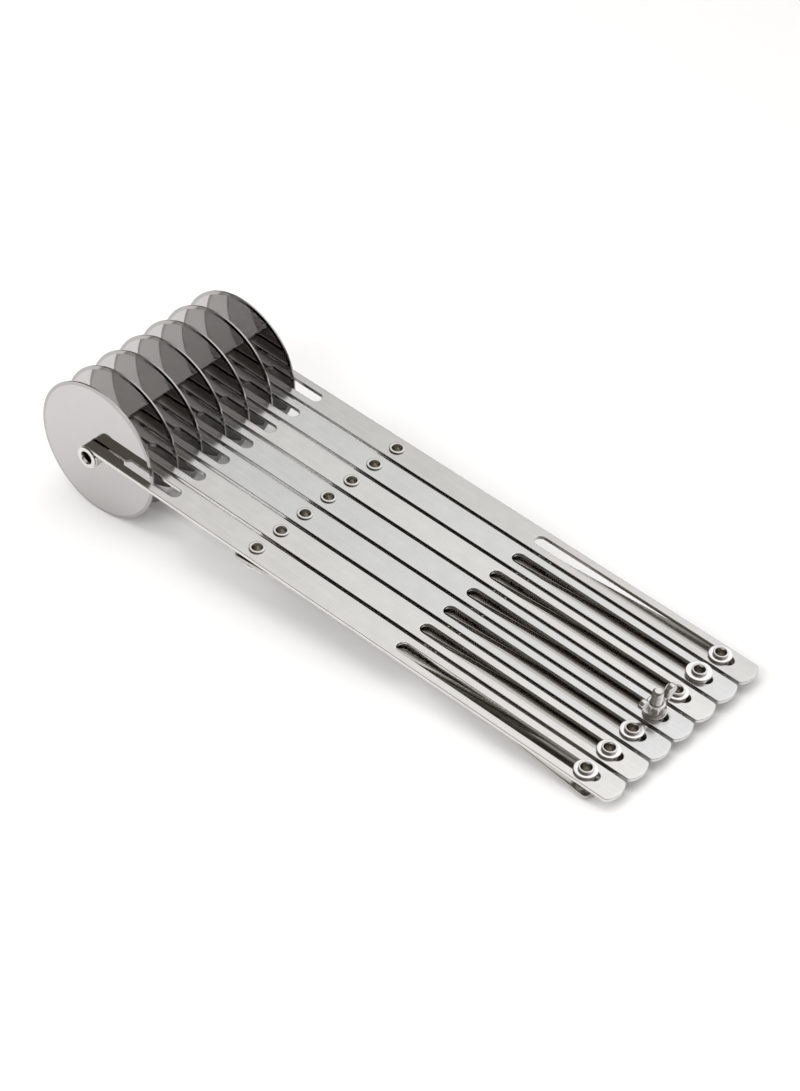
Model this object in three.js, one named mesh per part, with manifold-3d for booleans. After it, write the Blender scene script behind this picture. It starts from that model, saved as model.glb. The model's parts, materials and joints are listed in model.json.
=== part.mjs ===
// Expandable pastry cutter: seven slotted steel arms side by side, each holding a free-turning
// cutting disc, spread and closed by a riveted scissor linkage that one wing nut locks.
//
// Units are millimetres and +Z is up. The tool lies on a flat surface as it does in use between
// strokes: on the rims of its discs and on the rivet heads at the handle end. The origin is at the
// bottom centre of the closed tool. +X runs across the arms from arm 1 to arm 7, and +Y runs from
// the handle ends to the cutting discs.
//
// Everything is first laid out in the plane of the arms ("tool space": z = 0 is the top face of
// every arm and y = 0 is the row of fixed pivots), and the whole group is then tipped to rest.

import * as THREE from 'three';
import { mergeVertices } from 'three/addons/utils/BufferGeometryUtils.js';
import Module from 'manifold-3d';

const wasm = await Module();
wasm.setup();

// ---- driving dimensions ----

const ARM_COUNT = 7;
const PITCH = 12.3;                // spacing of neighbouring arms when closed
const LINK_LENGTH = 145;           // fixed pivot to sliding pivot along one scissor link

const ARM_WIDTH = 11;
const SHEET = 1.5;                 // thickness of the arms and of the links
const HANDLE_TIP_Y = -158.7;
const HANDLE_END_RADIUS = 8.8;
const HANDLE_CORNER_RADIUS = 1.5;

const SLOT_HALF_WIDTH = 2.4;       // long slot that guides the sliding pivot
const SLOT_INNER_Y = -64.2;
const SLOT_OUTER_Y = -149.9;

const WHEEL_SLOT_INNER_Y = 36.9;   // wide slot that the disc stands in
const WHEEL_SLOT_SHOULDER_Y = 61.5;
const PRONG_GAP_HALF = 1;          // narrow slot between the two prongs of the eye

const EYE_Y = 76.6;                // axle centre
const EYE_OUTER_RADIUS = 4.5;
const EYE_WRAP = THREE.MathUtils.degToRad(300);

const DISC_RADIUS = 27.5;
const DISC_THICKNESS = 1;
const DISC_BEVEL = 1.3;            // ground edge, measured along the radius
const DISC_EDGE_THICKNESS = 0.3;

const AXLE_RADIUS = 2.85;
const AXLE_BORE = 2.3;
const AXLE_FLARE_RADIUS = 4.2;
const AXLE_FLARE_THICKNESS = 0.35;

const RIVET_RADIUS = 2.2;
const RIVET_BORE = 1.75;
const RIVET_HEAD_RADIUS = 4;
const RIVET_HEAD_THICKNESS = 1;
const RIVET_FLARE_RADIUS = 2.9;
const RIVET_FLARE_HEIGHT = 0.45;
const RIVET_HOLE = 2.4;            // hole in an arm or a link
const COLLAR_RADIUS = 3.4;

const WASHER_RADIUS = 4.15;
const LARGE_WASHER_RADIUS = 4.6;
const WASHER_THICKNESS = 0.8;
const LARGE_WASHER_THICKNESS = 1.4;
const WASHER_BORE = 2.35;
const TUBE_HEIGHT = 0.8;           // how far a sliding rivet stands above its washer
const TUBE_FLARE_RADIUS = 2.65;

const SCREW_RADIUS = 2;
const SCREW_TIP_Z = 10;
const SCREW_CHAMFER = 0.6;
const NUT_RADIUS = 3.9;
const NUT_TOP_RADIUS = 3.2;
const NUT_HEIGHT = 4;
const NUT_BORE = 2.15;
const WING_THICKNESS = 2;
const WING_REACH = 8.3;
const WING_ROOT = 2.7;             // inner end of a wing, buried in the nut
const WING_HEIGHT = 8.4;
const WING_TIP_RADIUS = 1.9;
const WING_TURN = THREE.MathUtils.degToRad(-9);

const SEAT = 0.15;                 // clearance between parts that touch and slide
const LAYER_GAP = 0.9;             // arm to upper link, filled by a collar
const LINK_GAP = 0.2;              // upper link to lower link

// ---- worked out from the driving dimensions ----

const CLOSED_ANGLE = Math.asin(PITCH / LINK_LENGTH);
const SLIDER_Y = -LINK_LENGTH * Math.cos(CLOSED_ANGLE);

const UPPER_LINK_TOP = -SHEET - LAYER_GAP;
const UPPER_LINK_BOTTOM = UPPER_LINK_TOP - SHEET;
const LOWER_LINK_TOP = UPPER_LINK_BOTTOM - LINK_GAP;
const LOWER_LINK_BOTTOM = LOWER_LINK_TOP - SHEET;
const HEAD_TOP = LOWER_LINK_BOTTOM - LINK_GAP;
const HEAD_BOTTOM = HEAD_TOP - RIVET_HEAD_THICKNESS;

const EYE_INNER_RADIUS = EYE_OUTER_RADIUS - SHEET;
const EYE_Z = -EYE_OUTER_RADIUS;
const EYE_OVERLAP = 2;             // straight lead-in shared by the strip and its eye
const STRIP_END_Y = EYE_Y - EYE_OVERLAP / 2;

// Rows of points across the tool: arm k has its fixed pivot at armX(k), 0.
const armX = (k) => (k - (ARM_COUNT + 1) / 2) * PITCH;

const STEEL_SATIN = { color: 0xc9c8c4, roughness: 0.42, metalness: 1 };
const STEEL_LINK = { color: 0xb9b8b4, roughness: 0.48, metalness: 1 };
const STEEL_MIRROR = { color: 0xd8d7d4, roughness: 0.06, metalness: 1 };
const STEEL_BRIGHT = { color: 0xd2d1cd, roughness: 0.22, metalness: 1 };

// ---- small tools ----

// Keep only positions and share the vertices, so that the mesh is one closed body.
function weld(geometry) {
  const bare = geometry.index ? geometry.toNonIndexed() : geometry.clone();
  bare.deleteAttribute('normal');
  bare.deleteAttribute('uv');
  const merged = mergeVertices(bare, 1e-4);
  const index = merged.index.array;
  const kept = [];
  for (let i = 0; i < index.length; i += 3) {
    const [a, b, c] = [index[i], index[i + 1], index[i + 2]];
    if (a !== b && b !== c && c !== a) kept.push(a, b, c);
  }
  merged.setIndex(kept);
  return merged;
}

function toSolid(geometry) {
  const closed = weld(geometry);
  return new wasm.Manifold(new wasm.Mesh({
    numProp: 3,
    vertProperties: new Float32Array(closed.attributes.position.array),
    triVerts: new Uint32Array(closed.index.array),
  }));
}

function fromSolid(solid) {
  const { vertProperties, triVerts } = solid.getMesh();
  const geometry = new THREE.BufferGeometry();
  geometry.setAttribute('position', new THREE.BufferAttribute(vertProperties, 3));
  geometry.setIndex(new THREE.BufferAttribute(triVerts, 1));
  return geometry;
}

// A flat plate between two heights.
function plate(shape, bottom, top, curveSegments) {
  const options = { depth: top - bottom, bevelEnabled: false, curveSegments };
  return new THREE.ExtrudeGeometry(shape, options).translate(0, 0, bottom);
}

// A turned piece about Z. The profile is [radius, height] pairs, outer side going up.
function turned(profile, segments) {
  const points = profile.map(([radius, height]) => new THREE.Vector2(radius, height));
  return weld(new THREE.LatheGeometry(points, segments).rotateX(Math.PI / 2));
}

// A round hole, drawn as three arcs so that it stays round at a low segment count.
function roundHole(y) {
  const path = new THREE.Path();
  const third = 2 * Math.PI / 3;
  for (let i = 0; i < 3; i += 1) {
    path.absarc(0, y, RIVET_HOLE, i * third, (i + 1) * third, false);
  }
  return path;
}

// ---- arms ----

// Plan of the flat strip: a shallow arc with small corner fillets closes the handle end.
function stripShape() {
  const half = ARM_WIDTH / 2;
  const cornerX = half - HANDLE_CORNER_RADIUS;
  const inner = HANDLE_END_RADIUS - HANDLE_CORNER_RADIUS;
  const endCentreY = HANDLE_TIP_Y + HANDLE_END_RADIUS;
  const cornerY = endCentreY - Math.sqrt(inner ** 2 - cornerX ** 2);
  const spread = Math.atan2(cornerX, endCentreY - cornerY);
  const down = 1.5 * Math.PI;

  const shape = new THREE.Shape();
  shape.moveTo(-half, STRIP_END_Y);
  shape.lineTo(-half, cornerY);
  shape.absarc(-cornerX, cornerY, HANDLE_CORNER_RADIUS, Math.PI, down - spread, false);
  shape.absarc(0, endCentreY, HANDLE_END_RADIUS, down - spread, down + spread, false);
  shape.absarc(cornerX, cornerY, HANDLE_CORNER_RADIUS, down + spread, 2 * Math.PI, false);
  shape.lineTo(half, STRIP_END_Y);
  shape.closePath();

  const slot = new THREE.Path();
  slot.absarc(0, SLOT_INNER_Y - SLOT_HALF_WIDTH, SLOT_HALF_WIDTH, 0, Math.PI, false);
  slot.absarc(0, SLOT_OUTER_Y + SLOT_HALF_WIDTH, SLOT_HALF_WIDTH, Math.PI, 2 * Math.PI, false);
  slot.closePath();
  shape.holes.push(slot, roundHole(0));
  return shape;
}

// Plan of what is cut away for the disc: wide slot, shoulders, and the gap between the prongs.
function wheelSlotShape() {
  const roundY = WHEEL_SLOT_INNER_Y + SLOT_HALF_WIDTH;
  const narrowY = WHEEL_SLOT_SHOULDER_Y + SLOT_HALF_WIDTH - PRONG_GAP_HALF;
  const outY = EYE_Y + 2 * EYE_OUTER_RADIUS;
  const shape = new THREE.Shape();
  shape.moveTo(PRONG_GAP_HALF, outY);
  shape.lineTo(-PRONG_GAP_HALF, outY);
  shape.lineTo(-PRONG_GAP_HALF, narrowY);
  shape.lineTo(-SLOT_HALF_WIDTH, WHEEL_SLOT_SHOULDER_Y);
  shape.absarc(0, roundY, SLOT_HALF_WIDTH, Math.PI, 2 * Math.PI, false);
  shape.lineTo(SLOT_HALF_WIDTH, WHEEL_SLOT_SHOULDER_Y);
  shape.lineTo(PRONG_GAP_HALF, narrowY);
  shape.closePath();
  return shape;
}

// The strip rolls over the axle: a ring sector that starts level with the strip's top face.
function eyeGeometry() {
  const start = Math.PI / 2;
  const shape = new THREE.Shape();
  shape.moveTo(-EYE_OVERLAP, EYE_OUTER_RADIUS);
  shape.lineTo(-EYE_OVERLAP, EYE_INNER_RADIUS);
  shape.absarc(0, 0, EYE_INNER_RADIUS, start, start - EYE_WRAP, true);
  shape.absarc(0, 0, EYE_OUTER_RADIUS, start - EYE_WRAP, start, false);
  shape.closePath();
  const acrossArm = new THREE.Matrix4().makeBasis(
    new THREE.Vector3(0, 1, 0),
    new THREE.Vector3(0, 0, 1),
    new THREE.Vector3(1, 0, 0),
  );
  return plate(shape, -ARM_WIDTH / 2, ARM_WIDTH / 2, 6)
    .applyMatrix4(acrossArm)
    .translate(0, EYE_Y, EYE_Z);
}

function armGeometry() {
  const strip = toSolid(plate(stripShape(), -SHEET, 0, 3));
  const eye = toSolid(eyeGeometry());
  const cutter = toSolid(plate(wheelSlotShape(), 3 * EYE_Z, SHEET, 3));
  return fromSolid(strip.add(eye).subtract(cutter));
}

// ---- cutting discs and their axles ----

function discGeometry() {
  const half = DISC_THICKNESS / 2;
  const edge = DISC_EDGE_THICKNESS / 2;
  const bore = EYE_INNER_RADIUS;
  return turned([
    [bore, -half],
    [DISC_RADIUS - DISC_BEVEL, -half],
    [DISC_RADIUS, -edge],
    [DISC_RADIUS, edge],
    [DISC_RADIUS - DISC_BEVEL, half],
    [bore, half],
    [bore, -half],
  ], 32).rotateY(Math.PI / 2);
}

// A hollow pin whose mouths are flared over the outer faces of the eye.
function axleGeometry() {
  const inside = ARM_WIDTH / 2 + SEAT;
  const outside = inside + AXLE_FLARE_THICKNESS;
  const mouth = AXLE_BORE + AXLE_FLARE_THICKNESS;
  const throat = inside - 2 * AXLE_FLARE_THICKNESS;
  const upper = [
    [AXLE_RADIUS, inside],
    [AXLE_FLARE_RADIUS, inside],
    [AXLE_FLARE_RADIUS - SEAT, outside],
    [mouth, outside],
    [AXLE_BORE, throat],
  ];
  const lower = upper.map(([radius, height]) => [radius, -height]).reverse();
  return turned([...lower, ...upper, lower[0]], 10).rotateY(Math.PI / 2);
}

// ---- scissor links ----

// A link with its fixed pivot at the origin, running along -Y to the sliding pivot.
function linkGeometry(bottom, top) {
  const half = ARM_WIDTH / 2;
  const reach = 6;                 // metal beyond each end pivot
  const corner = 2.5;
  const shape = new THREE.Shape();
  const [low, high] = [-LINK_LENGTH - reach + corner, reach - corner];
  shape.absarc(half - corner, high, corner, 0, Math.PI / 2, false);
  shape.absarc(corner - half, high, corner, Math.PI / 2, Math.PI, false);
  shape.absarc(corner - half, low, corner, Math.PI, 1.5 * Math.PI, false);
  shape.absarc(half - corner, low, corner, 1.5 * Math.PI, 2 * Math.PI, false);
  shape.closePath();
  for (const y of [0, -LINK_LENGTH / 2, -LINK_LENGTH]) {
    shape.holes.push(roundHole(y));
  }
  return plate(shape, bottom, top, 2);
}

// ---- rivets, washers and the clamp ----

// A semi-tubular rivet: flat head below the links, collars where it spaces parts, and a mouth
// flared out over the part it holds down.
function rivetGeometry({ flareBottom, flareRadius, flareHeight, collars }) {
  const top = flareBottom + flareHeight;
  const profile = [
    [0, HEAD_BOTTOM],
    [RIVET_HEAD_RADIUS, HEAD_BOTTOM],
    [RIVET_HEAD_RADIUS, HEAD_TOP],
    [RIVET_RADIUS, HEAD_TOP],
  ];
  for (const [bottom, height] of collars) {
    profile.push(
      [RIVET_RADIUS, bottom],
      [COLLAR_RADIUS, bottom],
      [COLLAR_RADIUS, height],
      [RIVET_RADIUS, height],
    );
  }
  const lip = RIVET_BORE + 0.3;
  profile.push(
    [RIVET_RADIUS, flareBottom],
    [flareRadius, flareBottom],
    [flareRadius - SEAT, top],
    [lip, top],
    [RIVET_BORE, flareBottom],
    [RIVET_BORE, UPPER_LINK_BOTTOM],
    [0, UPPER_LINK_BOTTOM],
  );
  return turned(profile, 8);
}

// Collars fill the gap under the arm, and stand in for a link in a layer that has none.
function spacers({ upperEmpty = false, lowerEmpty = false }) {
  const armCollar = [UPPER_LINK_TOP + SEAT, -SHEET - SEAT];
  const lowerCollar = [LOWER_LINK_BOTTOM + SEAT, LOWER_LINK_TOP - SEAT];
  if (upperEmpty) return [[UPPER_LINK_BOTTOM + SEAT, armCollar[1]]];
  if (lowerEmpty) return [lowerCollar, armCollar];
  return [armCollar];
}

function washerGeometry(radius, thickness) {
  return turned([
    [WASHER_BORE, SEAT],
    [radius, SEAT],
    [radius, SEAT + thickness],
    [WASHER_BORE, SEAT + thickness],
    [WASHER_BORE, SEAT],
  ], 14);
}

function screwGeometry() {
  const [[collarBottom, collarTop]] = spacers({});
  return turned([
    [0, HEAD_BOTTOM],
    [RIVET_HEAD_RADIUS, HEAD_BOTTOM],
    [RIVET_HEAD_RADIUS, HEAD_TOP],
    [SCREW_RADIUS, HEAD_TOP],
    [SCREW_RADIUS, collarBottom],
    [COLLAR_RADIUS, collarBottom],
    [COLLAR_RADIUS, collarTop],
    [SCREW_RADIUS, collarTop],
    [SCREW_RADIUS, SCREW_TIP_Z - SCREW_CHAMFER],
    [SCREW_RADIUS - SCREW_CHAMFER, SCREW_TIP_Z],
    [0, SCREW_TIP_Z],
  ], 10);
}

// One wing seen from its flat side: it leaves the nut, leans outwards and ends in a round tip.
function wingGeometry() {
  const tipX = WING_REACH - WING_TIP_RADIUS;
  const tipZ = WING_HEIGHT - WING_TIP_RADIUS;
  const lean = Math.PI / 5;
  const shape = new THREE.Shape();
  shape.moveTo(WING_ROOT, SHEET / 2);
  shape.lineTo(NUT_RADIUS, SHEET / 2);
  shape.absarc(tipX, tipZ, WING_TIP_RADIUS, -lean, Math.PI - lean, false);
  shape.lineTo(WING_ROOT, NUT_HEIGHT - SHEET / 2);
  shape.closePath();
  return plate(shape, -WING_THICKNESS / 2, WING_THICKNESS / 2, 3).rotateX(Math.PI / 2);
}

function wingNutGeometry() {
  const hub = toSolid(turned([
    [NUT_BORE, 0],
    [NUT_RADIUS, 0],
    [NUT_RADIUS, NUT_HEIGHT / 3],
    [NUT_TOP_RADIUS, NUT_HEIGHT],
    [NUT_BORE, NUT_HEIGHT],
    [NUT_BORE, 0],
  ], 14));
  const wing = toSolid(wingGeometry());
  const otherWing = toSolid(wingGeometry().rotateZ(Math.PI));
  return fromSolid(hub.add(wing).add(otherWing));
}

// ---- assembly in tool space ----

const tool = new THREE.Group();

function place(name, geometry, material, [x, y, z], turn = 0) {
  const mesh = new THREE.Mesh(geometry, new THREE.MeshStandardMaterial(material));
  mesh.name = name;
  mesh.position.set(x, y, z);
  mesh.rotation.z = turn;
  tool.add(mesh);
}

const arm = armGeometry();
const disc = discGeometry();
const axle = axleGeometry();
for (let k = 1; k <= ARM_COUNT; k += 1) {
  place(`arm_${k}`, arm, STEEL_SATIN, [armX(k), 0, 0]);
  place(`cutting_wheel_${k}`, disc, STEEL_MIRROR, [armX(k), EYE_Y, EYE_Z]);
  place(`wheel_axle_${k}`, axle, STEEL_BRIGHT, [armX(k), EYE_Y, EYE_Z]);
}

// Upper links run from a fixed pivot to the next arm's slider, lower links the other way, and
// each pair is riveted where it crosses.
const upperLink = linkGeometry(UPPER_LINK_BOTTOM, UPPER_LINK_TOP);
const lowerLink = linkGeometry(LOWER_LINK_BOTTOM, LOWER_LINK_TOP);
const crossRivet = rivetGeometry({
  flareBottom: UPPER_LINK_TOP + SEAT,
  flareRadius: RIVET_FLARE_RADIUS,
  flareHeight: RIVET_FLARE_HEIGHT,
  collars: [],
});
for (let k = 1; k < ARM_COUNT; k += 1) {
  place(`link_a_${k}`, upperLink, STEEL_LINK, [armX(k), 0, 0], CLOSED_ANGLE);
  place(`link_b_${k}`, lowerLink, STEEL_LINK, [armX(k + 1), 0, 0], -CLOSED_ANGLE);
  place(`cross_rivet_${k}`, crossRivet, STEEL_BRIGHT, [armX(k) + PITCH / 2, SLIDER_Y / 2, 0]);
}

for (let k = 1; k <= ARM_COUNT; k += 1) {
  const rivet = rivetGeometry({
    flareBottom: SEAT,
    flareRadius: RIVET_FLARE_RADIUS,
    flareHeight: RIVET_FLARE_HEIGHT,
    collars: spacers({ lowerEmpty: k === 1, upperEmpty: k === ARM_COUNT }),
  });
  place(`pivot_rivet_${k}`, rivet, STEEL_BRIGHT, [armX(k), 0, 0]);
}

// The sliding pivots: a rivet under a washer in every arm but the middle one, which has the clamp.
const CLAMP_ARM = (ARM_COUNT + 1) / 2;
for (let k = 1; k <= ARM_COUNT; k += 1) {
  if (k === CLAMP_ARM) continue;
  const isLarge = k === ARM_COUNT - 1;
  const washerRadius = isLarge ? LARGE_WASHER_RADIUS : WASHER_RADIUS;
  const washerThickness = isLarge ? LARGE_WASHER_THICKNESS : WASHER_THICKNESS;
  const rivet = rivetGeometry({
    flareBottom: 2 * SEAT + washerThickness,
    flareRadius: TUBE_FLARE_RADIUS,
    flareHeight: TUBE_HEIGHT,
    collars: spacers({ upperEmpty: k === 1, lowerEmpty: k === ARM_COUNT }),
  });
  const washer = washerGeometry(washerRadius, washerThickness);
  place(`slide_rivet_${k}`, rivet, STEEL_BRIGHT, [armX(k), SLIDER_Y, 0]);
  place(`slide_washer_${k}`, washer, STEEL_BRIGHT, [armX(k), SLIDER_Y, 0]);
}

const clampX = armX(CLAMP_ARM);
place('clamp_screw', screwGeometry(), STEEL_BRIGHT, [clampX, SLIDER_Y, 0]);
place('wing_nut', wingNutGeometry(), STEEL_BRIGHT, [clampX, SLIDER_Y, WASHER_THICKNESS], WING_TURN);

// ---- tip the tool to rest ----

// The lowest points are the disc rims, straight below the axles, and the front edges of the
// sliding rivets' heads. Both touch the ground when the height difference between them is equal
// to the disc radius, which fixes the tip angle.
const edgeY = SLIDER_Y - RIVET_HEAD_RADIUS;
const reachY = EYE_Y - edgeY;
const riseZ = EYE_Z - HEAD_BOTTOM;
const TIP_ANGLE = Math.asin(DISC_RADIUS / Math.hypot(reachY, riseZ)) - Math.atan2(riseZ, reachY);

tool.rotation.x = TIP_ANGLE;
tool.updateMatrixWorld(true);
const box = new THREE.Box3().setFromObject(tool, true);
const centre = box.getCenter(new THREE.Vector3());
tool.position.set(-centre.x, -centre.y, -box.min.z);

const pastryCutter = new THREE.Group();
pastryCutter.name = 'pastry_cutter';
pastryCutter.add(tool);

export default pastryCutter;
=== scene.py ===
"""Looks of the expandable pastry cutter: every sheet part, disc, rivet and fastener is rebuilt finely.

Shapes are worked out in "tool space", in millimetres: x across the arms, y from the handle ends to
the discs, z square to the arms, with the origin on the top face of the middle arm at its fixed
pivot. The frame's joints say where that is.
"""
import json
import math

import bmesh
import bpy
from mathutils import Matrix, Vector


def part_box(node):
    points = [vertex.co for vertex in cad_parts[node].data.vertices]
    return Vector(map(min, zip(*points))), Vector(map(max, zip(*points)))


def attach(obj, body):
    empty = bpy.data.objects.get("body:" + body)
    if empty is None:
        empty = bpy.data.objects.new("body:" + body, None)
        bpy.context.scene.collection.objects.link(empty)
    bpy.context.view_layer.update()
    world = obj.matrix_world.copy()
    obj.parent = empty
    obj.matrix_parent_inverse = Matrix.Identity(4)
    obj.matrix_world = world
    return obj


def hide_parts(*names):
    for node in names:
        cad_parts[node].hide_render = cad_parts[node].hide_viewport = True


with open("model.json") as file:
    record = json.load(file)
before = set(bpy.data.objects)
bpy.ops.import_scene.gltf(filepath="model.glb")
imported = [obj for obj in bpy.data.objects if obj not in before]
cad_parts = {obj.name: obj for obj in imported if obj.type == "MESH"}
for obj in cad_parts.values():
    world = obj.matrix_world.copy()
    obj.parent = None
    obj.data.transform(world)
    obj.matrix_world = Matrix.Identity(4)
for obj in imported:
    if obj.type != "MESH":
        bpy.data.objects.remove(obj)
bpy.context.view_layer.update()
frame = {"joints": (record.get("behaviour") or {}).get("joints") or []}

MM = 0.001
ARM_COUNT = 7
CLAMP_ARM = 4

# ---- tool space, from the frame's joints ----

joints = {joint["name"]: joint for joint in frame["joints"]}
tool_up = Vector(joints["spread"]["axis"]).normalized()
tool_across = Vector((1, 0, 0))
tool_along = tool_up.cross(tool_across)
TOOL = Matrix((tool_across, tool_along, tool_up)).transposed().to_4x4()
TOOL.translation = Vector(joints["spread"]["pos_m"])
TO_TOOL = TOOL.inverted()


def in_tool_mm(joint_name):
    return TO_TOOL @ Vector(joints[joint_name]["pos_m"]) / MM


def arm_x(k):
    low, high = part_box(f"arm_{k}")
    return (low.x + high.x) / 2 / MM


eye = in_tool_mm("wheel_4_spin")
SLIDER_Y = 2 * in_tool_mm("cross_4").y
PITCH = arm_x(2) - arm_x(1)
LINK_LENGTH = math.hypot(PITCH, SLIDER_Y)
CLOSED_ANGLE = math.asin(PITCH / LINK_LENGTH)

# ---- dimensions, in millimetres ----

ARM_WIDTH = 11
SHEET = 1.5
ARM_EDGE = 0.28                  # rounding of the blanked and tumbled edges
HANDLE_TIP_Y = -158.7
HANDLE_END_RADIUS = 8.8
HANDLE_CORNER_RADIUS = 1.5
SLOT_HALF_WIDTH = 2.4
SLOT_INNER_Y = -64.2
SLOT_OUTER_Y = -149.9
WHEEL_SLOT_INNER_Y = 36.9
WHEEL_SLOT_SHOULDER_Y = 61.5
PRONG_GAP_HALF = 1
EYE_OUTER_RADIUS = 4.5
EYE_WRAP = math.radians(300)
EYE_STEPS = 40

DISC_RADIUS = 27.5
DISC_THICKNESS = 1
DISC_BEVEL = 1.3
DISC_EDGE_THICKNESS = 0.6
DISC_RIM_ROUNDING = 0.05

LINK_END_REACH = 6
LINK_CORNER_RADIUS = 1.6

AXLE_RADIUS = 2.85
AXLE_BORE = 2.3
AXLE_FLARE_RADIUS = 4.2
AXLE_FLARE_THICKNESS = 0.35

RIVET_RADIUS = 2.2
RIVET_BORE = 1.75
RIVET_HEAD_RADIUS = 4
RIVET_FLARE_RADIUS = 2.9
RIVET_FLARE_HEIGHT = 0.45
HOLE_RADIUS = 2.4
COLLAR_RADIUS = 3.4
WASHER_RADIUS = 4.15
WASHER_THICKNESS = 0.8
LARGE_WASHER_RADIUS = 4.6
LARGE_WASHER_THICKNESS = 1.4
WASHER_BORE = 2.35
TUBE_HEIGHT = 0.8
TUBE_FLARE_RADIUS = 2.65

SCREW_RADIUS = 2
SCREW_TIP_Z = 10
SCREW_CHAMFER = 0.7
SCREW_HEAD_CHAMFER = 0.15
THREAD_PITCH = 0.7
THREAD_DEPTH = 0.34
NUT_RADIUS = 3.9
NUT_TOP_RADIUS = 3.2
NUT_HEIGHT = 4
NUT_BORE = 2.15
WING_REACH = 8.3
WING_HEIGHT = 8.4
WING_THICKNESS = 2.2
WING_EAR_RADIUS = 1.9
WING_TURN = math.radians(-9)
WING_ROOT = 1.5
CASTING_VOXEL = 0.13
CLAMP_WASHER_BOTTOM = 0.05
CLAMP_WASHER_TOP = 0.75

SEAT = 0.15
UPPER_LINK_TOP = -2.4
UPPER_LINK_BOTTOM = UPPER_LINK_TOP - SHEET
LOWER_LINK_TOP = UPPER_LINK_BOTTOM - 0.2
LOWER_LINK_BOTTOM = LOWER_LINK_TOP - SHEET
HEAD_TOP = LOWER_LINK_BOTTOM - 0.2
HEAD_BOTTOM = HEAD_TOP - 1

# ---- outline helpers ----


def arc(x, y, radius, start, end, steps):
    angles = [start + (end - start) * i / steps for i in range(steps + 1)]
    return [(x + radius * math.cos(a), y + radius * math.sin(a)) for a in angles]


def fillet(points, radius, steps=4):
    """Rounds each corner of a closed outline. Corners on the axis (x = 0) stay sharp."""
    rounded = []
    for i, corner in enumerate(points):
        here = Vector(corner)
        before = Vector(points[i - 1]) - here
        after = Vector(points[(i + 1) % len(points)]) - here
        turn = before.angle(after)
        if here.x == 0 or turn > math.pi - 0.02:
            rounded.append(corner)
            continue
        reach = min(radius / math.tan(turn / 2), before.length * 0.45, after.length * 0.45)
        start = here + before.normalized() * reach
        end = here + after.normalized() * reach
        for step in range(steps + 1):
            t = step / steps
            rounded.append(tuple(start * (1 - t) ** 2 + here * 2 * t * (1 - t) + end * t * t))
    return rounded


# ---- mesh helpers ----


def new_mesh(name, vertices, faces):
    mesh = bpy.data.meshes.new(name)
    mesh.from_pydata(vertices, [], faces)
    mesh.update()
    return mesh


def finish_mesh(mesh, sharp_angle=30):
    """Millimetres to metres, one closed skin with faces out, smooth but for its real edges."""
    shape = bmesh.new()
    shape.from_mesh(mesh)
    bmesh.ops.remove_doubles(shape, verts=shape.verts, dist=1e-4)
    bmesh.ops.dissolve_degenerate(shape, edges=shape.edges, dist=1e-4)
    bmesh.ops.recalc_face_normals(shape, faces=shape.faces)
    bmesh.ops.scale(shape, vec=(MM, MM, MM), verts=shape.verts)
    shape.to_mesh(mesh)
    shape.free()
    mesh.shade_smooth()
    mesh.set_sharp_from_angle(angle=math.radians(sharp_angle))
    return mesh


def evaluated_copy(obj):
    """The mesh that an object's curve or modifiers make. The object itself is removed."""
    bpy.context.scene.collection.objects.link(obj)
    graph = bpy.context.evaluated_depsgraph_get()
    mesh = bpy.data.meshes.new_from_object(obj.evaluated_get(graph))
    bpy.data.objects.remove(obj)
    return mesh


def plate_mesh(name, outlines, bottom, top, edge):
    """A flat plate with rounded edges. The first outline is the outside and the rest are holes."""
    curve = bpy.data.curves.new(name, "CURVE")
    curve.dimensions = "2D"
    curve.fill_mode = "BOTH"
    curve.extrude = (top - bottom) / 2 - edge
    curve.bevel_depth = edge
    curve.bevel_resolution = 2
    curve.offset = -edge
    for outline in outlines:
        spline = curve.splines.new("POLY")
        spline.points.add(len(outline) - 1)
        for point, (x, y) in zip(spline.points, outline):
            point.co = (x, y, 0, 1)
        spline.use_cyclic_u = True
    mesh = evaluated_copy(bpy.data.objects.new(name, curve))
    mesh.transform(Matrix.Translation((0, 0, (top + bottom) / 2)))
    return mesh


def revolve(name, profile, segments):
    """A closed outline of (radius, height) turned about Z. Points at radius 0 are poles."""
    vertices, rings = [], []
    for radius, height in profile:
        if radius == 0:
            rings.append([len(vertices)] * segments)
            vertices.append((0, 0, height))
            continue
        rings.append(list(range(len(vertices), len(vertices) + segments)))
        for i in range(segments):
            angle = 2 * math.pi * i / segments
            vertices.append((radius * math.cos(angle), radius * math.sin(angle), height))
    faces = []
    for i, ring in enumerate(rings):
        above = rings[(i + 1) % len(rings)]
        for j in range(segments):
            following = (j + 1) % segments
            corners = [ring[j], ring[following], above[following], above[j]]
            face = list(dict.fromkeys(corners))
            if len(face) > 2:
                faces.append(face)
    return new_mesh(name, vertices, faces)


# ---- materials ----


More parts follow.
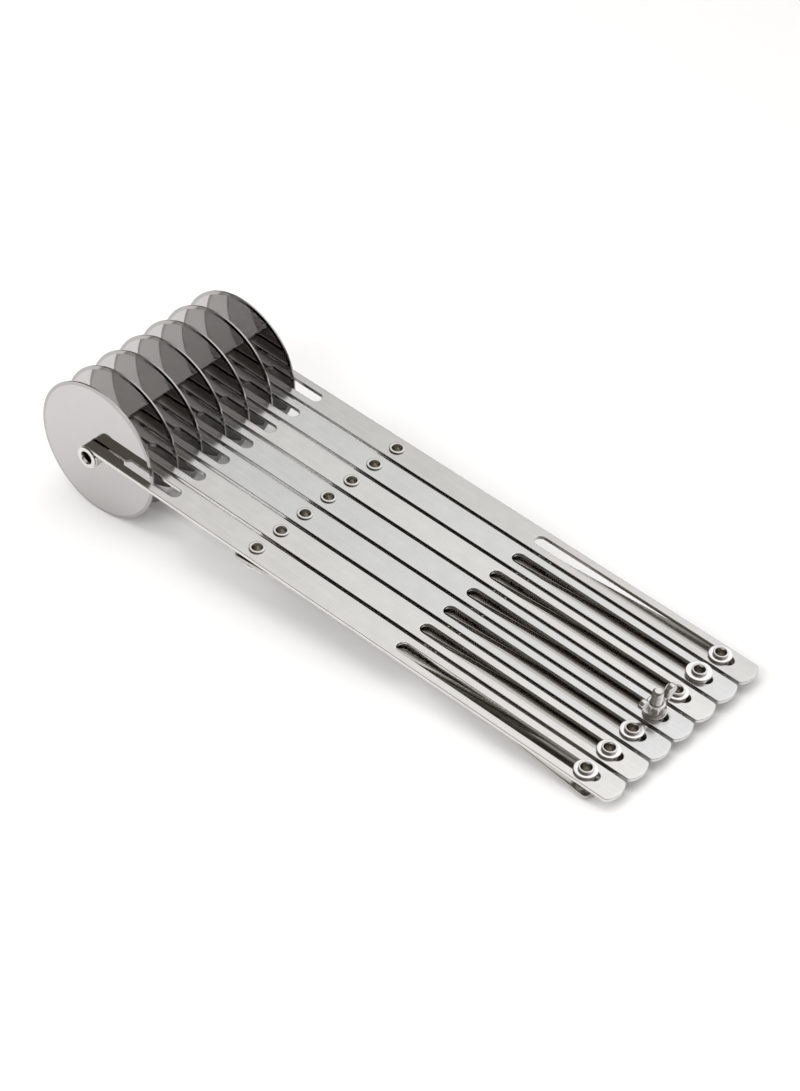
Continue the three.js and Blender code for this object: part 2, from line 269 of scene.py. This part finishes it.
def steel(name, colour, roughness, spread, grain, bump, mottle=0.04, round_axis=False, tilt=0):
    """Metal with a fine grain, a slow mottle in colour and polish, and a faint bump.

    grain is the grain's fineness along local x, y and z, per metre, turned by tilt about x. With
    round_axis the grain runs in rings about local z, as a turned or wheel-polished face has it.
    """
    material = bpy.data.materials.new(name)
    material.use_nodes = True
    nodes, links = material.node_tree.nodes, material.node_tree.links
    shader = nodes["Principled BSDF"]
    shader.inputs["Metallic"].default_value = 1
    where = nodes.new("ShaderNodeTexCoord").outputs["Object"]

    stretch = nodes.new("ShaderNodeMapping")
    stretch.vector_type = "TEXTURE"
    stretch.inputs["Rotation"].default_value = (tilt, 0, 0)
    stretch.inputs["Scale"].default_value = [1 / fineness for fineness in grain]
    if round_axis:
        flat = nodes.new("ShaderNodeVectorMath")
        flat.operation = "MULTIPLY"
        flat.inputs[1].default_value = (1, 1, 0)
        links.new(where, flat.inputs[0])
        radius = nodes.new("ShaderNodeVectorMath")
        radius.operation = "LENGTH"
        links.new(flat.outputs[0], radius.inputs[0])
        rings = nodes.new("ShaderNodeCombineXYZ")
        links.new(radius.outputs["Value"], rings.inputs["X"])
        links.new(rings.outputs[0], stretch.inputs["Vector"])
    else:
        links.new(where, stretch.inputs["Vector"])

    fine = nodes.new("ShaderNodeTexNoise")
    fine.inputs["Scale"].default_value = 1
    fine.inputs["Detail"].default_value = 3
    links.new(stretch.outputs[0], fine.inputs["Vector"])

    slow = nodes.new("ShaderNodeTexNoise")
    slow.inputs["Scale"].default_value = 160
    slow.inputs["Detail"].default_value = 4
    links.new(where, slow.inputs["Vector"])

    polish = nodes.new("ShaderNodeMapRange")
    polish.inputs["From Min"].default_value = 0.3
    polish.inputs["From Max"].default_value = 0.7
    polish.inputs["To Min"].default_value = roughness - spread
    polish.inputs["To Max"].default_value = roughness + spread
    blend = nodes.new("ShaderNodeMath")
    blend.operation = "MULTIPLY_ADD"
    blend.inputs[1].default_value = 0.5
    links.new(fine.outputs["Fac"], blend.inputs[0])
    half = nodes.new("ShaderNodeMath")
    half.operation = "MULTIPLY"
    half.inputs[1].default_value = 0.5
    links.new(slow.outputs["Fac"], half.inputs[0])
    links.new(half.outputs[0], blend.inputs[2])
    links.new(blend.outputs[0], polish.inputs["Value"])
    links.new(polish.outputs[0], shader.inputs["Roughness"])

    shade = nodes.new("ShaderNodeValToRGB")
    shade.color_ramp.elements[0].position = 0.3
    shade.color_ramp.elements[0].color = [c * (1 - mottle) for c in colour] + [1]
    shade.color_ramp.elements[1].position = 0.7
    shade.color_ramp.elements[1].color = [min(1, c * (1 + mottle)) for c in colour] + [1]
    links.new(blend.outputs[0], shade.inputs["Fac"])
    links.new(shade.outputs["Color"], shader.inputs["Base Color"])

    relief = nodes.new("ShaderNodeBump")
    relief.inputs["Strength"].default_value = bump
    relief.inputs["Distance"].default_value = 0.02 * MM
    links.new(fine.outputs["Fac"], relief.inputs["Height"])
    links.new(relief.outputs["Normal"], shader.inputs["Normal"])
    return material


TILT = math.atan2(-tool_up.y, tool_up.z)
SATIN_TINTS = {
    "warm": (0.68, 0.673, 0.656),
    "cool": (0.64, 0.645, 0.643),
    "grey": (0.605, 0.597, 0.582),
}
SATIN = {
    tint: steel(f"satin_sheet_{tint}", colour, 0.19, 0.03, (2200, 14, 2200), 0.05, 0.08, tilt=TILT)
    for tint, colour in SATIN_TINTS.items()
}
ARM_TINTS = ["warm", "warm", "cool", "cool", "warm", "cool", "grey"]
LINK = steel("link_sheet", (0.50, 0.485, 0.46), 0.22, 0.04, (5000, 90, 5000), 0.1)
MIRROR = steel("mirror_disc", (0.525, 0.515, 0.51), 0.035, 0.01, (3000, 1, 1), 0.03, 0.02, True)
BRIGHT = steel("bright_turned", (0.68, 0.67, 0.655), 0.16, 0.05, (2500, 2500, 9000), 0.2)
# Disc bevel steel: the rougher ground finish is real; its colour, darker than the disc face, is
# painted shade for the darker reflection the bevel band shows.
GROUND_EDGE_PAINTED_SHADE = steel("ground_edge_painted_shade", (0.40, 0.39, 0.38), 0.12, 0.03, (6000, 1, 1), 0.15, 0.06, True)
WASHER = steel("polished_washer", (0.82, 0.815, 0.80), 0.22, 0.05, (2500, 2500, 9000), 0.15)
# Bore steel: a duller finish, and a darker, browner colour that is painted shade for the dark inside
# of rivet and axle bores.
DULL_BORE_PAINTED_SHADE = steel("dull_bore_painted_shade", (0.58, 0.55, 0.51), 0.2, 0.08, (4000, 4000, 1500), 0.5, 0.2)


# ---- putting a piece in place ----


def put(name, mesh, matrix, body, material, replaced=(), second=DULL_BORE_PAINTED_SHADE):
    """Places a piece on its body. The second material is for faces with material index 1."""
    obj = bpy.data.objects.new(name, mesh)
    bpy.context.scene.collection.objects.link(obj)
    if not mesh.materials:
        mesh.materials.append(material)
        mesh.materials.append(second)
    weighted = obj.modifiers.new("flat_faces_flat", "WEIGHTED_NORMAL")
    weighted.keep_sharp = True
    weighted.weight = 80
    obj.matrix_world = matrix
    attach(obj, body)
    if replaced:
        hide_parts(*replaced)


def at(x, y, z=0, turn=0):
    return TOOL @ Matrix.Translation(Vector((x, y, z)) * MM) @ Matrix.Rotation(turn, 4, "Z")


def dull_and_shade_inside(mesh, radius, low, high):
    """Gives the wall of a tube's bore the second material: a duller finish, and a darker, browner
    colour that is painted shade for the dark inside of the hole. About local z, in millimetres.
    """
    for face in mesh.polygons:
        middle = face.center / MM
        if math.hypot(middle.x, middle.y) < radius and low < middle.z < high:
            face.material_index = 1
    return mesh


# ---- arms ----


def arm_outlines(length_of_roll):
    """The flat blank, with its two prongs still straight."""
    half = ARM_WIDTH / 2
    corner_x = half - HANDLE_CORNER_RADIUS
    inner = HANDLE_END_RADIUS - HANDLE_CORNER_RADIUS
    end_y = HANDLE_TIP_Y + HANDLE_END_RADIUS
    corner_y = end_y - math.sqrt(inner**2 - corner_x**2)
    spread = math.atan2(corner_x, end_y - corner_y)
    down = 1.5 * math.pi
    round_y = WHEEL_SLOT_INNER_Y + SLOT_HALF_WIDTH
    narrow_y = WHEEL_SLOT_SHOULDER_Y + SLOT_HALF_WIDTH - PRONG_GAP_HALF
    tip_y = eye.y + length_of_roll

    outside = arc(-corner_x, corner_y, HANDLE_CORNER_RADIUS, math.pi, down - spread, 8)
    outside += arc(0, end_y, HANDLE_END_RADIUS, down - spread, down + spread, 20)[1:-1]
    outside += arc(corner_x, corner_y, HANDLE_CORNER_RADIUS, down + spread, 2 * math.pi, 8)
    outside += [(half, tip_y), (PRONG_GAP_HALF, tip_y), (PRONG_GAP_HALF, narrow_y)]
    outside += [(SLOT_HALF_WIDTH, WHEEL_SLOT_SHOULDER_Y)]
    outside += arc(0, round_y, SLOT_HALF_WIDTH, 0, -math.pi, 20)
    outside += [(-SLOT_HALF_WIDTH, WHEEL_SLOT_SHOULDER_Y)]
    outside += [(-PRONG_GAP_HALF, narrow_y), (-PRONG_GAP_HALF, tip_y), (-half, tip_y)]

    slot = arc(0, SLOT_INNER_Y - SLOT_HALF_WIDTH, SLOT_HALF_WIDTH, 0, math.pi, 20)
    slot += arc(0, SLOT_OUTER_Y + SLOT_HALF_WIDTH, SLOT_HALF_WIDTH, math.pi, 2 * math.pi, 20)
    hole = arc(0, 0, HOLE_RADIUS, 0, 2 * math.pi, 32)[:-1]
    return [outside, slot, hole]


def arm_mesh():
    """The blank, with its prongs rolled over to make the eye."""
    middle = EYE_OUTER_RADIUS - SHEET / 2
    roll = middle * EYE_WRAP
    mesh = plate_mesh("arm", arm_outlines(roll), -SHEET, 0, ARM_EDGE)
    shape = bmesh.new()
    shape.from_mesh(mesh)
    bmesh.ops.remove_doubles(shape, verts=shape.verts, dist=1e-4)
    for step in range(EYE_STEPS):
        everything = shape.verts[:] + shape.edges[:] + shape.faces[:]
        cut = (0, eye.y + roll * step / EYE_STEPS, 0)
        bmesh.ops.bisect_plane(shape, geom=everything, dist=1e-5, plane_co=cut, plane_no=(0, 1, 0))
    for vertex in shape.verts:
        past = vertex.co.y - eye.y
        if past <= 0:
            continue
        angle = past / middle
        radius = EYE_OUTER_RADIUS + vertex.co.z
        vertex.co.y = eye.y + radius * math.sin(angle)
        vertex.co.z = -EYE_OUTER_RADIUS + radius * math.cos(angle)
    shape.to_mesh(mesh)
    shape.free()
    mesh.transform(Matrix.Rotation(TILT, 4, "X"))
    return finish_mesh(mesh)


# ---- discs and axles ----


def disc_mesh():
    half, edge, bore = DISC_THICKNESS / 2, DISC_EDGE_THICKNESS / 2, EYE_OUTER_RADIUS - SHEET
    ground = DISC_RADIUS - DISC_BEVEL
    rim = DISC_RADIUS - DISC_RIM_ROUNDING
    profile = [(bore, -half), (ground, -half), (rim, -edge), (DISC_RADIUS, 0)]
    profile += [(rim, edge), (ground, half), (bore, half)]
    mesh = finish_mesh(revolve("disc", profile, 192), 5)
    # The bevel band takes the second material, whose darker colour is painted shade.
    for face in mesh.polygons:
        if math.hypot(face.center.x, face.center.y) > ground * MM:
            face.material_index = 1
    return mesh


def axle_mesh():
    inside = ARM_WIDTH / 2 + SEAT
    outside = inside + AXLE_FLARE_THICKNESS
    mouth = AXLE_BORE + AXLE_FLARE_THICKNESS
    upper = [(AXLE_RADIUS, inside), (AXLE_FLARE_RADIUS, inside), (AXLE_FLARE_RADIUS, outside)]
    upper += [(mouth, outside), (AXLE_BORE, inside - 2 * AXLE_FLARE_THICKNESS)]
    lower = [(radius, -height) for radius, height in reversed(upper)]
    mesh = finish_mesh(revolve("axle", fillet(lower + upper, 0.16), 64), 50)
    return dull_and_shade_inside(mesh, AXLE_BORE + 0.05, -inside, inside)


# ---- links ----


def link_mesh(name, bottom, top):
    half, corner = ARM_WIDTH / 2, LINK_CORNER_RADIUS
    low, high = -LINK_LENGTH - LINK_END_REACH + corner, LINK_END_REACH - corner
    outside = arc(half - corner, high, corner, 0, math.pi / 2, 8)
    outside += arc(corner - half, high, corner, math.pi / 2, math.pi, 8)
    outside += arc(corner - half, low, corner, math.pi, 1.5 * math.pi, 8)
    outside += arc(half - corner, low, corner, 1.5 * math.pi, 2 * math.pi, 8)
    pivots = (0, -LINK_LENGTH / 2, -LINK_LENGTH)
    holes = [arc(0, y, HOLE_RADIUS, 0, 2 * math.pi, 32)[:-1] for y in pivots]
    return finish_mesh(plate_mesh(name, [outside, *holes], bottom, top, ARM_EDGE))


# ---- rivets, collars and washers ----


def rivet_mesh(name, flare_bottom, flare_radius, flare_height):
    """Flat head below, hollow shank, and a mouth rolled outwards over what it holds down."""
    top = flare_bottom + flare_height
    profile = [(0, HEAD_BOTTOM), (RIVET_HEAD_RADIUS, HEAD_BOTTOM), (RIVET_HEAD_RADIUS, HEAD_TOP)]
    profile += [(RIVET_RADIUS, HEAD_TOP), (RIVET_RADIUS, flare_bottom), (flare_radius, flare_bottom)]
    profile += [(flare_radius, top), (RIVET_BORE + 0.3, top), (RIVET_BORE, flare_bottom)]
    profile += [(RIVET_BORE, UPPER_LINK_BOTTOM), (0, UPPER_LINK_BOTTOM)]
    mesh = finish_mesh(revolve(name, fillet(profile, 0.22, 5), 48), 50)
    return dull_and_shade_inside(mesh, RIVET_BORE + 0.05, HEAD_TOP, flare_bottom)


def ring_mesh(name, bore, radius, bottom, top, edge=0.18):
    profile = [(bore, bottom), (radius, bottom), (radius, top), (bore, top)]
    return finish_mesh(revolve(name, fillet(profile, edge), 64), 50)


def collar_mesh(name, bottom, top):
    return ring_mesh(name, RIVET_RADIUS + 0.02, COLLAR_RADIUS, bottom, top, 0.12)


# ---- clamp screw and wing nut ----


def screw_mesh():
    """Flat head, plain shank and a real helical thread up to a chamfered tip."""
    segments, per_turn = 48, 8
    bottom = -SHEET
    rows = int((SCREW_TIP_Z - bottom) / THREAD_PITCH * per_turn)
    vertices, rings = [], []

    def ring(radius_at, height):
        rings.append(len(vertices))
        for i in range(segments):
            angle = 2 * math.pi * i / segments
            radius = radius_at(angle)
            vertices.append((radius * math.cos(angle), radius * math.sin(angle), height))

    ring(lambda angle: RIVET_HEAD_RADIUS - SCREW_HEAD_CHAMFER, HEAD_BOTTOM)
    ring(lambda angle: RIVET_HEAD_RADIUS, HEAD_BOTTOM + SCREW_HEAD_CHAMFER)
    ring(lambda angle: RIVET_HEAD_RADIUS, HEAD_TOP)
    ring(lambda angle: SCREW_RADIUS, HEAD_TOP)
    for row in range(rows + 1):
        height = bottom + (SCREW_TIP_Z - bottom) * row / rows
        chamfer = max(0, SCREW_CHAMFER - (SCREW_TIP_Z - height))
        run_in = min(1, (height - bottom) / THREAD_PITCH)

        def thread_radius(angle):
            phase = (height / THREAD_PITCH - angle / (2 * math.pi)) % 1
            groove = THREAD_DEPTH * run_in * min(1, max(0, 1.4 - abs(phase - 0.5) * 4))
            return min(SCREW_RADIUS - groove, SCREW_RADIUS - chamfer)

        ring(thread_radius, height)
    faces = [list(reversed(range(segments)))]
    for lower, upper in zip(rings, rings[1:]):
        for j in range(segments):
            following = (j + 1) % segments
            faces.append([lower + j, lower + following, upper + following, upper + j])
    faces.append(list(range(rings[-1], rings[-1] + segments)))
    return finish_mesh(new_mesh("clamp_bolt", vertices, faces), 40)


def wing_outline():
    """Half of a wing nut from its flat side: the wing leans out and ends in a round ear."""
    ear_x, ear_z = WING_REACH - WING_EAR_RADIUS, WING_HEIGHT - WING_EAR_RADIUS
    outline = [(WING_ROOT, 0.4), (NUT_RADIUS - 0.2, 0.5), (NUT_RADIUS + 1.3, 2.2)]
    outline += arc(ear_x, ear_z, WING_EAR_RADIUS, math.radians(-38), math.radians(155), 14)
    outline += [(NUT_TOP_RADIUS + 0.5, NUT_HEIGHT), (WING_ROOT, NUT_HEIGHT - 0.6)]
    return outline


def wing_nut_mesh():
    """Hub and wings melted into one casting with soft inner corners."""
    hub = [(NUT_BORE, 0), (NUT_RADIUS, 0), (NUT_RADIUS, NUT_HEIGHT * 0.3)]
    hub += [(NUT_TOP_RADIUS, NUT_HEIGHT), (NUT_BORE, NUT_HEIGHT)]
    body = bmesh.new()
    body.from_mesh(revolve("hub", fillet(hub, 0.3), 64))
    for side in (0, math.pi):
        half = WING_THICKNESS / 2
        wing = plate_mesh("wing", [wing_outline()], -half, half, 0.45)
        wing.transform(Matrix.Rotation(side, 4, "Z") @ Matrix.Rotation(math.pi / 2, 4, "X"))
        body.from_mesh(wing)
    bmesh.ops.remove_doubles(body, verts=body.verts, dist=1e-4)
    joined = bpy.data.meshes.new("wing_nut_blank")
    body.to_mesh(joined)
    body.free()
    blank = bpy.data.objects.new("wing_nut_blank", joined)
    melt = blank.modifiers.new("melt", "REMESH")
    melt.mode = "VOXEL"
    melt.voxel_size = CASTING_VOXEL
    soften = blank.modifiers.new("soften", "SMOOTH")
    soften.factor = 0.5
    soften.iterations = 7
    return finish_mesh(evaluated_copy(blank), 80)


# ---- assembly ----

arm = arm_mesh()
disc = disc_mesh()
axle = axle_mesh()
on_its_side = Matrix.Rotation(math.pi / 2, 4, "Y")
for k in range(1, ARM_COUNT + 1):
    x = arm_x(k)
    wheel_place = Matrix.Translation(joints[f"wheel_{k}_spin"]["pos_m"]) @ on_its_side
    arm_place = Matrix.Translation(at(x, 0).translation)
    satin = SATIN[ARM_TINTS[k - 1]]
    put(f"slotted_arm_{k}", arm.copy(), arm_place, f"arm_{k}", satin, [f"arm_{k}"])
    put(f"disc_{k}", disc, wheel_place, f"wheel_{k}", MIRROR,
        [f"cutting_wheel_{k}"], GROUND_EDGE_PAINTED_SHADE)
    put(f"hollow_axle_{k}", axle, wheel_place, f"arm_{k}", BRIGHT, [f"wheel_axle_{k}"])

upper_link = link_mesh("upper_link", UPPER_LINK_BOTTOM, UPPER_LINK_TOP)
lower_link = link_mesh("lower_link", LOWER_LINK_BOTTOM, LOWER_LINK_TOP)
crossing = rivet_mesh("crossing", UPPER_LINK_TOP + SEAT, RIVET_FLARE_RADIUS, RIVET_FLARE_HEIGHT)
for k in range(1, ARM_COUNT):
    upper_place = at(arm_x(k), 0, 0, CLOSED_ANGLE)
    lower_place = at(arm_x(k + 1), 0, 0, -CLOSED_ANGLE)
    cross_place = at(arm_x(k) + PITCH / 2, SLIDER_Y / 2)
    put(f"upper_link_plate_{k}", upper_link, upper_place, f"upper_link_{k}", LINK,
        [f"link_a_{k}"])
    put(f"lower_link_plate_{k}", lower_link, lower_place, f"lower_link_{k}", LINK,
        [f"link_b_{k}"])
    put(f"crossing_rivet_{k}", crossing, cross_place, f"upper_link_{k}", BRIGHT,
        [f"cross_rivet_{k}"])

arm_collar = collar_mesh("arm_collar", UPPER_LINK_TOP + SEAT, -SHEET - SEAT)
tall_collar = collar_mesh("tall_collar", UPPER_LINK_BOTTOM + SEAT, -SHEET - SEAT)
lower_collar = collar_mesh("lower_collar", LOWER_LINK_BOTTOM + SEAT, LOWER_LINK_TOP - SEAT)


def put_collars(prefix, k, place, body, upper_empty, lower_empty):
    """Thin collars under the arms, and thick ones where an outer arm has no link in a layer."""
    put(f"{prefix}_collar_{k}", tall_collar if upper_empty else arm_collar, place, body,
        BRIGHT)
    if lower_empty:
        put(f"{prefix}_spacer_{k}", lower_collar, place, body, BRIGHT)


def slider_body(k):
    return "lower_link_1" if k == 1 else f"upper_link_{k - 1}"


fixed = rivet_mesh("fixed_rivet", SEAT, RIVET_FLARE_RADIUS, RIVET_FLARE_HEIGHT)
for k in range(1, ARM_COUNT + 1):
    place = at(arm_x(k), 0)
    put(f"fixed_rivet_{k}", fixed, place, f"arm_{k}", BRIGHT, [f"pivot_rivet_{k}"])
    put_collars("fixed", k, place, f"arm_{k}", k == ARM_COUNT, k == 1)

for k in range(1, ARM_COUNT + 1):
    place = at(arm_x(k), SLIDER_Y)
    body = slider_body(k)
    put_collars("sliding", k, place, body, k == 1, k == ARM_COUNT)
    if k == CLAMP_ARM:
        continue
    large = k == ARM_COUNT - 1
    radius = LARGE_WASHER_RADIUS if large else WASHER_RADIUS
    thickness = LARGE_WASHER_THICKNESS if large else WASHER_THICKNESS
    rivet = rivet_mesh("sliding_rivet", 2 * SEAT + thickness, TUBE_FLARE_RADIUS, TUBE_HEIGHT)
    washer = ring_mesh("washer", WASHER_BORE, radius, SEAT, SEAT + thickness)
    put(f"sliding_rivet_{k}", rivet, place, body, BRIGHT, [f"slide_rivet_{k}"])
    put(f"sliding_washer_{k}", washer, place, body, WASHER, [f"slide_washer_{k}"])

clamp_place = at(arm_x(CLAMP_ARM), SLIDER_Y)
clamp_body = slider_body(CLAMP_ARM)
nut_place = at(arm_x(CLAMP_ARM), SLIDER_Y, WASHER_THICKNESS, WING_TURN)
put("clamp_bolt", screw_mesh(), clamp_place, clamp_body, BRIGHT, ["clamp_screw"])
clamp_washer = ring_mesh("clamp_washer", WASHER_BORE, WASHER_RADIUS, CLAMP_WASHER_BOTTOM,
                         CLAMP_WASHER_TOP)
put("clamp_washer", clamp_washer, clamp_place, clamp_body, BRIGHT)
put("cast_wing_nut", wing_nut_mesh(), nut_place, "wing_nut", BRIGHT, ["wing_nut"])

# ---- floor, light and camera ----


def make_floor():
    size = 4
    corners = [(-size, -size, 0), (size, -size, 0), (size, size, 0), (-size, size, 0)]
    floor = bpy.data.objects.new("floor", new_mesh("floor", corners, [[0, 1, 2, 3]]))
    bpy.context.scene.collection.objects.link(floor)
    paper = bpy.data.materials.new("white_paper")
    paper.use_nodes = True
    shader = paper.node_tree.nodes["Principled BSDF"]
    shader.inputs["Base Color"].default_value = (0.9, 0.9, 0.9, 1)
    shader.inputs["Roughness"].default_value = 0.9
    shader.inputs["Specular IOR Level"].default_value = 0.1
    shader.inputs["Emission Color"].default_value = (1, 1, 1, 1)
    shader.inputs["Emission Strength"].default_value = 0.05
    floor.data.materials.append(paper)


def soft_light(name, position, aim, size, watts):
    lamp = bpy.data.lights.new(name, "AREA")
    lamp.shape = "DISK"
    lamp.size = size
    lamp.energy = watts
    obj = bpy.data.objects.new(name, lamp)
    bpy.context.scene.collection.objects.link(obj)
    obj.location = position
    obj.rotation_euler = (Vector(aim) - Vector(position)).to_track_quat("-Z", "Y").to_euler()
    obj.visible_glossy = False


def make_world():
    """A wide bright dome above and to the right, falling off to a dim room at the left."""
    world = bpy.data.worlds.new("studio")
    world.use_nodes = True
    bpy.context.scene.world = world
    nodes, links = world.node_tree.nodes, world.node_tree.links
    sky = nodes["Background"]
    sky.inputs["Strength"].default_value = 1.42
    towards = nodes.new("ShaderNodeVectorMath")
    towards.operation = "DOT_PRODUCT"
    towards.inputs[1].default_value = Vector((0.5, -0.25, 0.83)).normalized()
    links.new(nodes.new("ShaderNodeTexCoord").outputs["Generated"], towards.inputs[0])
    glow = nodes.new("ShaderNodeValToRGB")
    glow.color_ramp.interpolation = "EASE"
    glow.color_ramp.elements[0].position = 0.5
    glow.color_ramp.elements[0].color = (0.13, 0.115, 0.1, 1)
    glow.color_ramp.elements[1].position = 1
    glow.color_ramp.elements[1].color = (1, 1, 1, 1)
    links.new(towards.outputs["Value"], glow.inputs["Fac"])
    links.new(glow.outputs["Color"], sky.inputs["Color"])


def make_camera():
    azimuth, elevation = math.radians(-49.4), math.radians(39.3)
    distance = 1.0527
    aim = TOOL.translation + Vector((0.0087, -0.02558, -0.01359))
    forward = Vector((
        -math.sin(azimuth) * math.cos(elevation),
        math.cos(azimuth) * math.cos(elevation),
        -math.sin(elevation),
    ))
    camera = bpy.data.cameras.new("camera")
    camera.lens = 99
    camera.sensor_width = 36
    camera.clip_start = 0.05
    camera.clip_end = 20
    obj = bpy.data.objects.new("camera", camera)
    bpy.context.scene.collection.objects.link(obj)
    obj.location = aim - forward * distance
    obj.rotation_euler = forward.to_track_quat("-Z", "Y").to_euler()
    bpy.context.scene.camera = obj


make_floor()
make_world()
soft_light("top", (-0.2, 0.1, 1.4), (0, 0, 0), 0.8, 4.5)
soft_light("left", (-1.2, -0.1, 0.9), (0, 0, 0), 1, 11)
soft_light("back", (-0.5, 1.1, 0.9), (0, 0, 0), 1, 6.5)
make_camera()
bpy.context.scene.view_settings.view_transform = "Standard"

bpy.context.view_layer.update()
